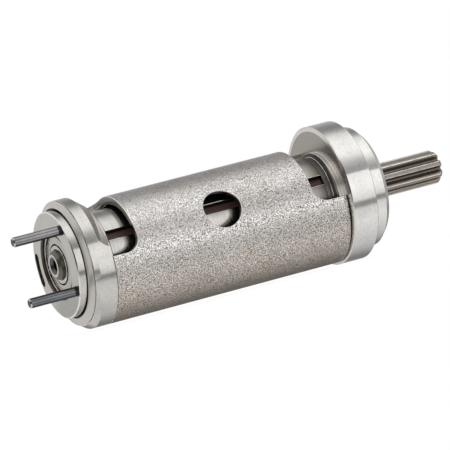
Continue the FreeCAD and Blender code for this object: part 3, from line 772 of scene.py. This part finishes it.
def tooth_ring_tree():
    """Copies of one tooth, turned about the rotor axis and welded into a gear."""
    tree, given = new_tree("tooth_ring", {"Teeth": "Int", "First Turn": "Float", "Material": "Material"})
    line = add(tree, "GeometryNodeMeshLine", {"Count": given["Teeth"], "Offset": (0.0, 0.0, 0.0)})
    pitch = maths(tree, "DIVIDE", 2 * math.pi, given["Teeth"])
    number = add(tree, "GeometryNodeInputIndex").outputs[0]
    turn = maths(tree, "MULTIPLY_ADD", number, pitch, given["First Turn"])
    row = add(tree, "GeometryNodeInstanceOnPoints", {
        "Points": line.outputs[0], "Instance": given["Geometry"], "Rotation": combine(tree, turn),
    })
    return end_tree(tree, row.outputs[0], given["Material"], TOOTH_WELD)


# ---------------------------------------------------------------- rotor and pinion

def involute_half_angle(radius):
    """Half of a tooth's angle at a radius, in degrees."""
    at_pitch = math.radians(PRESSURE_ANGLE)
    base_radius = MODULE * TEETH / 2 * math.cos(at_pitch)
    at_radius = math.acos(min(1.0, base_radius / radius))
    spread = (math.tan(at_radius) - at_radius) - (math.tan(at_pitch) - at_pitch)
    return 90.0 / TEETH - math.degrees(spread)


def tooth_outline():
    """(radius, turn) points of half a tooth, from the middle of the space to the tooth's middle."""
    half_pitch = 180.0 / TEETH
    base_radius = MODULE * TEETH / 2 * math.cos(math.radians(PRESSURE_ANGLE))
    foot = involute_half_angle(base_radius)
    tip = involute_half_angle(PINION_TIP_RADIUS)
    fillet = FLANK_FOOT_RADIUS - PINION_ROOT_RADIUS
    tip_round = 0.14
    steps = 6
    points = []
    for step in range(steps):
        share = step / steps
        radius = PINION_ROOT_RADIUS + fillet * (1.0 - math.sqrt(1.0 - share ** 2))
        points.append((radius, -half_pitch + (half_pitch - foot) * share))
    points.append((FLANK_FOOT_RADIUS, -foot))
    for step in range(steps + 1):
        radius = base_radius + (PINION_TIP_RADIUS - tip_round - base_radius) * step / steps
        points.append((radius, -involute_half_angle(radius)))
    points.append((PINION_TIP_RADIUS - 0.04, -tip + 0.35))
    points.append((PINION_TIP_RADIUS, -tip + 1.3))
    points.append((PINION_TIP_RADIUS, 0.0))
    return points


def pinion_tooth():
    """One tooth with its share of the core, open on the two sides where its neighbours join."""
    half = tooth_outline()
    outline = half + [(radius, -turn) for radius, turn in reversed(half[:-1])]
    gaps = range(len(outline) - 1)
    start = PINION_X - 0.05
    end = PINION_X + PINION_LENGTH
    low = PINION_TIP_RADIUS - PINION_CHAMFER
    chamfer = [PINION_CHAMFER * step / 4 for step in range(5)]
    stations = [(start, low)] + [(PINION_X + rise, low + rise) for rise in chamfer]
    stations += [(end - PINION_CHAMFER + rise, PINION_TIP_RADIUS - rise) for rise in chamfer]
    shape = bmesh.new()
    wear = shape.faces.layers.float.new("edge_wear")
    rows = [
        [shape.verts.new(around(x, min(radius, limit), turn)) for radius, turn in outline]
        for x, limit in stations
    ]
    # The two rounded edges of the tip are rubbed
    rubbed = {len(half) - 4, len(half) - 3, len(half) + 1, len(half) + 2}
    for first, second in zip(rows, rows[1:]):
        for index in gaps:
            face = shape.faces.new((first[index], second[index], second[index + 1], first[index + 1]))
            face[wear] = 1.0 if index in rubbed else 0.0
    centre = shape.verts.new(around(start, 0.0, 0.0))
    for index in gaps:
        shape.faces.new((centre, rows[0][index], rows[0][index + 1]))
    # The free end has a countersunk centre hole with a drilled point
    cone_radius, cone_depth, hole_radius, hole_depth, point_depth = 2.4, 1.0, 1.35, 3.2, 3.9
    row = rows[-1]
    for x, radius in ((end, cone_radius), (end - cone_depth, hole_radius), (end - hole_depth, hole_radius)):
        inner = [shape.verts.new(around(x, radius, turn)) for _, turn in outline]
        for index in gaps:
            shape.faces.new((row[index], inner[index], inner[index + 1], row[index + 1]))
        row = inner
    centre = shape.verts.new(around(end - point_depth, 0.0, 0.0))
    for index in gaps:
        shape.faces.new((centre, row[index + 1], row[index]))
    return to_mesh(shape, "pinion_tooth")


def output_pinion():
    piece = new_piece("output_pinion", pinion_tooth(), PINION_STEEL)
    first_turn = math.radians(PINION_TURN)
    grow(piece, tooth_ring_tree(), {"Teeth": TEETH, "First Turn": first_turn, "Material": PINION_STEEL})
    shape = bmesh.new()
    shape.from_mesh(piece.data)
    bmesh.ops.recalc_face_normals(shape, faces=shape.faces)
    crease(shape, PINION_CREASE)
    shape.to_mesh(piece.data)
    shape.free()
    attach(piece, BODY_OF["rotor"])


def slotted_rotor():
    """Rotor and shaft, cut off just inside the pinion's rear end; only the slots' long edges are rubbed."""
    shape = solid_copy("rotor")
    cut = bmesh.ops.bisect_plane(
        shape, geom=shape.verts[:] + shape.edges[:] + shape.faces[:], dist=0.000001,
        plane_co=((PINION_X - 0.02) * MM, 0.0, 0.0), plane_no=(1.0, 0.0, 0.0), clear_outer=True,
    )
    rim = [item for item in cut["geom_cut"] if isinstance(item, bmesh.types.BMEdge) and item.is_boundary]
    bmesh.ops.holes_fill(shape, edges=rim, sides=0)
    round_edges(shape, ROTOR_ROUND, SHARP, lambda x, y, z: math.hypot(y, z) > RUNNING_RADIUS)
    wear = shape.faces.layers.float["edge_wear"]
    for face in shape.faces:
        x = face.calc_center_median().x / MM
        if min(x - REAR_JOINT_X - RUNNING_DEPTH[0], FRONT_JOINT_X - RUNNING_DEPTH[1] - x) < 0.2:
            face[wear] = 0.0
    crease(shape)
    dress(to_piece(shape, "slotted_rotor", ROTOR_STEEL), "rotor")


# ---------------------------------------------------------------- bearings and ring

def pressed_shield(name, node, outer_face, inward, inner, outer):
    """Thin pressed shield: a flat ring, then a groove, with its rim held in the outer ring."""
    rim = outer - 0.02
    groove = outer - 0.95
    # Outline as (depth under the bearing's face, radius), the outside first
    outline = [
        (0.62, inner), (0.36, inner), (0.28, inner + 0.08), (0.28, groove - 0.12), (0.34, groove - 0.03),
        (0.60, groove), (0.68, groove + 0.10), (0.68, rim), (0.75, rim), (0.75, groove - 0.1),
        (0.52, groove - 0.25), (0.52, inner + 0.25), (0.62, inner + 0.20),
    ]
    outline = [(outer_face + inward * depth, radius) for depth, radius in outline]
    dress(revolved(name, outline, SHIELD_STEEL), node)


def ball_bearing(side, start, outer, bore, width, count, ball_tree):
    prefix = side + "_bearing_"
    pitch = (outer + bore) / 2
    steel = bearing_steel(side + "_bearing_steel", start, outer, width)
    edges = [(RACE_ROUND, SHARP, everywhere)]
    dress_copy(prefix + "outer_ring", side + "_outer_race", steel, edges)
    dress_copy(prefix + "inner_ring", side + "_inner_race", steel, edges)
    row = new_piece(side + "_ball_row", bpy.data.meshes.new(side + "_ball_row"), BALL_STEEL)
    grow(row, ball_tree, {
        "Count": count, "Pitch Radius": pitch * MM, "Ball Radius": BALL_RADIUS * MM,
        "Station": (start + width / 2) * MM, "Material": BALL_STEEL,
    })
    dress(row, prefix + "balls")
    dress_copy(prefix + "cage", side + "_ball_cage", CAGE_BRASS)
    rim = pitch + RACE_SHOULDER + SHIELD_SEAT
    lip = pitch - RACE_SHOULDER - RACE_NOTCH + 0.65
    pressed_shield(side + "_shield_behind", prefix + "rear_shield", start, 1.0, lip, rim)
    pressed_shield(side + "_shield_ahead", prefix + "front_shield", start + width, -1.0, lip, rim)


def shaft_ring():
    """Open ring that thins towards its ends, which have lugs with holes for the pliers."""
    half_gap = RING_GAP_DEGREES / 2
    lug_radius, lug_pitch, lug_turn, hole_radius = 1.6, 8.75, half_gap + 8.5, 0.65
    steps = 120
    turns = [half_gap + (360.0 - 2 * half_gap) * step / steps for step in range(steps + 1)]
    rim = []
    for turn in turns:
        width = RING_WIDTH * (0.72 + 0.28 * (0.5 - 0.5 * math.cos(math.radians(turn))))
        radius = RING_INNER_RADIUS + width
        off = math.radians(min(abs(turn - lug_turn), abs(360.0 - lug_turn - turn)))
        aside = lug_pitch * math.sin(off)
        if aside < lug_radius:
            radius = max(radius, lug_pitch * math.cos(off) + math.sqrt(lug_radius ** 2 - aside ** 2))
        rim.append((radius, turn))
    rim += [(RING_INNER_RADIUS, turn) for turn in reversed(turns)]
    loops = [[around(0.0, radius, turn) for radius, turn in rim]]
    for turn in (lug_turn, 360.0 - lug_turn):
        centre = around(0.0, lug_pitch, turn)
        loops.append([centre + around(0.0, hole_radius, 15.0 * step) for step in range(24)])
    shape = bmesh.new()
    shape.faces.layers.float.new("edge_wear")
    sides = []
    for x in (RING_X, RING_X + RING_THICKNESS):
        rows = [[shape.verts.new(point + Vector((x * MM, 0.0, 0.0))) for point in loop] for loop in loops]
        edges = [shape.edges.new((row[index - 1], row[index])) for row in rows for index in range(len(row))]
        bmesh.ops.triangle_fill(shape, use_beauty=True, use_dissolve=False, edges=edges)
        sides.append(rows)
    for first, second in zip(*sides):
        join_rings(shape, first, second)
    bmesh.ops.recalc_face_normals(shape, faces=shape.faces)
    crease(shape)
    dress(to_piece(shape, "shaft_ring", RING_STEEL), "front_retaining_ring")


# ---------------------------------------------------------------- cylinder and plates
# The picks for round_edges: they take the ends of the edges that are rounded

def window_edge(x, y, z):
    """Around the windows and the hole, on the cylinder's outside."""
    outside = math.hypot(y, z + CYLINDER_DROP) > CYLINDER_RADIUS - 0.1
    return outside and REAR_JOINT_X + 0.45 < x < FRONT_JOINT_X - 0.45


def bore_window_edge(x, y, z):
    """Around the windows and the hole, in the bore."""
    inside = abs(math.hypot(y - BORE_CENTRE_Y, z - BORE_CENTRE_Z) - BORE_RADIUS) < 0.1
    return inside and REAR_JOINT_X + 0.05 < x < FRONT_JOINT_X - 0.05 and (y < 0.0 or z > 10.0)


def front_plate_edge(x, y, z):
    """All but the edges of the running face."""
    return x > FRONT_JOINT_X - 2.5


def rear_rim(x, y, z):
    """Around the rear disc's rim and the groove in it."""
    return math.hypot(y, z + REAR_DISC_DROP) > 25.1 and x < REAR_FACE_X + 0.6


def inlet_mouth(x, y, z):
    return abs(x - BOSS_FACE_X) < 0.02 and y > 0.0 and abs(math.hypot(y, z) - INLET_RADIUS) < 2.0


def boss_rim(x, y, z):
    reach = BOSS_RIM_DROP + 0.05
    return math.hypot(y, z) > BOSS_RADIUS - reach and x < BOSS_FACE_X + reach


def widen_boss_rim(shape):
    """Move the two rings of the boss's edge apart and mark the faces between them as rubbed."""
    wear = shape.faces.layers.float["edge_wear"]
    for vertex in shape.verts:
        x, y, z = vertex.co / MM
        radius = math.hypot(y, z)
        if abs(x - BOSS_FACE_X) < 0.02 and abs(radius - (BOSS_RADIUS - BOSS_EDGE)) < 0.05:
            vertex.co.y *= (BOSS_RADIUS - BOSS_RIM_DROP) / radius
            vertex.co.z *= (BOSS_RADIUS - BOSS_RIM_DROP) / radius
        elif abs(x - BOSS_FACE_X - BOSS_EDGE) < 0.02 and abs(radius - BOSS_RADIUS) < 0.05:
            vertex.co.x = (BOSS_FACE_X + BOSS_RIM_DEPTH) * MM
    for face in shape.faces:
        if all(boss_rim(*(vertex.co / MM)) for vertex in face.verts):
            face[wear] = 1.0


slotted_rotor()
output_pinion()
BALL_TREE = ball_row_tree()
for bearing in BEARINGS:
    ball_bearing(*bearing, BALL_TREE)
shaft_ring()
dress_copy(
    "cylinder", "blasted_cylinder", IRON,
    [(WINDOW_ROUND, SHARP, window_edge), (BORE_WINDOW_ROUND, SHARP, bore_window_edge)],
)
dress_copy(
    "front_end_plate", "front_plate", FRONT_STEEL,
    [(PLATE_ROUND, SHARP, front_plate_edge)],
)
dress_copy(
    "rear_end_plate", "rear_plate", REAR_STEEL,
    [(PLATE_ROUND, 40.0, rear_rim), (PLATE_ROUND, SHARP, inlet_mouth)], widen_boss_rim, joined=False,
)
for index, turn in enumerate(VANE_TURNS):
    number = str(index + 1)
    finish = laminate("laminate_" + number, turn)
    edges = [(VANE_ROUND, SHARP, everywhere)]
    dress_copy("vane_" + number, "laminate_vane_" + number, finish, edges)
drive_pin("upper", DOWEL_TURNS[0])
drive_pin("lower", DOWEL_TURNS[1])
dress_copy("front_locating_dowel", "front_locator", LOCATOR_STEEL)
dress_copy("rear_locating_dowel", "rear_locator", LOCATOR_STEEL)


# ---------------------------------------------------------------- studio

# Brightness of the softboxes, the gaps between them and the table, by turn about the motor's axis
STUDIO_LIGHT = [
    (-90, 0.55), (-70, 0.50), (-58, 0.42), (-46, 0.31), (-34, 0.29), (-24, 0.42), (-10, 0.92), (2, 1.10),
    (14, 1.16), (26, 1.16), (37, 1.02), (48, 0.62), (58, 0.40), (66, 0.42), (68, 1.06), (86, 1.16),
    (98, 1.08), (106, 0.95), (112, 0.82), (116, 0.30), (122, 0.34), (127, 0.78), (146, 0.88), (158, 0.84),
    (170, 0.78), (182, 0.72), (194, 0.66), (206, 0.54), (218, 0.40), (230, 0.26), (242, 0.21), (270, 0.35),
]
# Behind the motor's rear end the far side is bright and the near side dark. Beyond its front end the light
# is duller.
REAR_FAR_LIGHT = 0.74
REAR_NEAR_LIGHT = 0.05
FRONT_END_LIGHT = 0.49

# Light from the world on the object, and the whiteness of the floor where it is seen directly
WORLD_LIGHT = 0.8
FLOOR_GLOW = 1.08


def mix_shaders(tree, share, first, second, output):
    """Shader between two others, sent to the tree's output."""
    choice = add(tree, "ShaderNodeMixShader", {0: share, 1: first.outputs[0], 2: second.outputs[0]})
    add(tree, output, {0: choice.outputs[0]})


def seen_directly(tree):
    """1 for what the camera sees directly, in metal or through glass."""
    path = add(tree, "ShaderNodeLightPath").outputs
    share = maths(tree, "MAXIMUM", path["Is Camera Ray"], path["Is Glossy Ray"])
    return maths(tree, "MAXIMUM", share, path["Is Transmission Ray"])


def studio_world():
    world = bpy.data.worlds.new("studio")
    bpy.context.scene.world = world
    world.use_nodes = True
    tree = world.node_tree
    tree.nodes.clear()
    light = add(tree, "ShaderNodeBackground", {"Color": grey(1.0), "Strength": WORLD_LIGHT})
    backdrop = add(tree, "ShaderNodeBackground", {"Color": grey(1.0), "Strength": 1.0})
    mix_shaders(tree, seen_directly(tree), light, backdrop, "ShaderNodeOutputWorld")


def studio_surround():
    """Tube of softboxes and dark cloth around the motor, which the camera doesn't see."""
    radius = 4.0
    length = 6.0
    steps = 180
    shape = bmesh.new()
    rings = [
        [shape.verts.new(around(x / MM, radius / MM, 360.0 * step / steps)) for step in range(steps)]
        for x in (-length, length)
    ]
    join_rings(shape, *rings)
    shape.faces.new(rings[0])
    shape.faces.new(list(reversed(rings[1])))

    material, tree = new_material("studio_light")
    x, _, turn = lathe_place(tree)
    # turn runs from -180 to 180 degrees; it is counted from -90 to 270 here
    degrees = times(tree, turn, 180.0 / math.pi)
    wrapped = maths(tree, "MODULO", maths(tree, "ADD", degrees, 450.0), 360.0)
    share = maths(tree, "DIVIDE", wrapped, 360.0)
    light = levels(tree, share, *(((stop + 90.0) / 360.0, level) for stop, level in STUDIO_LIGHT))
    _, y, z = separate(tree, place(tree))
    far_side = maths(tree, "MULTIPLY_ADD", y, 0.9, 0.5, clamp=True)
    behind = maths(tree, "MULTIPLY_ADD", x, -1.2, 0.5, clamp=True)
    light = mix_colour(tree, times(tree, behind, far_side), light, grey(REAR_FAR_LIGHT))
    # A dark cloth hangs on the near half of the rear end wall, above the table
    end_wall = maths(tree, "MULTIPLY_ADD", x, -2.0, -10.8, clamp=True)
    near_side = maths(tree, "SUBTRACT", 1.0, far_side)
    above = maths(tree, "MULTIPLY_ADD", z, 0.5, 1.3, clamp=True)
    light = mix_colour(tree, times(tree, end_wall, near_side, above), light, grey(REAR_NEAR_LIGHT))
    ahead = maths(tree, "MULTIPLY_ADD", x, 1.0, -length + 0.6, clamp=True)
    light = mix_colour(tree, ahead, light, grey(FRONT_END_LIGHT))
    camera_ray = add(tree, "ShaderNodeLightPath").outputs["Is Camera Ray"]
    lamp = add(tree, "ShaderNodeEmission", {"Color": light})
    clear = add(tree, "ShaderNodeBsdfTransparent")
    mix_shaders(tree, camera_ray, lamp, clear, "ShaderNodeOutputMaterial")
    return new_piece("studio_surround", to_mesh(shape, "studio_surround"), material)


def pale_floor():
    """Pale floor just under the motor, which keeps the motor's shadow and isn't seen in reflections."""
    shape = bmesh.new()
    middle = Matrix.Translation((-0.05, 0.0, cad_box[0][2] - 0.0003))
    bmesh.ops.create_circle(shape, cap_ends=True, segments=96, radius=1.5, matrix=middle)
    material, tree = new_material("floor_white")
    matte = add(tree, "ShaderNodeBsdfDiffuse", {"Color": grey(0.85)})
    glow = add(tree, "ShaderNodeEmission", {"Color": grey(1.0), "Strength": FLOOR_GLOW})
    mix_shaders(tree, times(tree, seen_directly(tree), 0.85), matte, glow, "ShaderNodeOutputMaterial")
    floor = new_piece("pale_floor", to_mesh(shape, "pale_floor"), material)
    floor.visible_glossy = False
    return floor


studio_world()
studio_surround()
pale_floor()


# ---------------------------------------------------------------- camera

def photo_camera():
    """Camera with a long lens, its place and its three axes fitted to the photograph."""
    data = bpy.data.cameras.new("photo_camera")
    data.lens = 360.0
    data.sensor_width = 36.0
    data.clip_start = 0.05
    data.clip_end = 30.0
    camera = bpy.data.objects.new("photo_camera", data)
    bpy.context.scene.collection.objects.link(camera)
    right = Vector((0.88769, -0.38398, -0.25408))
    up = Vector((0.23319, -0.10087, 0.96718))
    forward = Vector((0.39702, 0.91781, 0.0))
    turn = Matrix((right, up, -forward)).transposed().to_4x4()
    camera.matrix_world = Matrix.Translation((-0.78076, -1.67606, -0.00149)) @ turn
    bpy.context.scene.camera = camera


photo_camera()
bpy.context.scene.view_settings.view_transform = "Standard"

import json
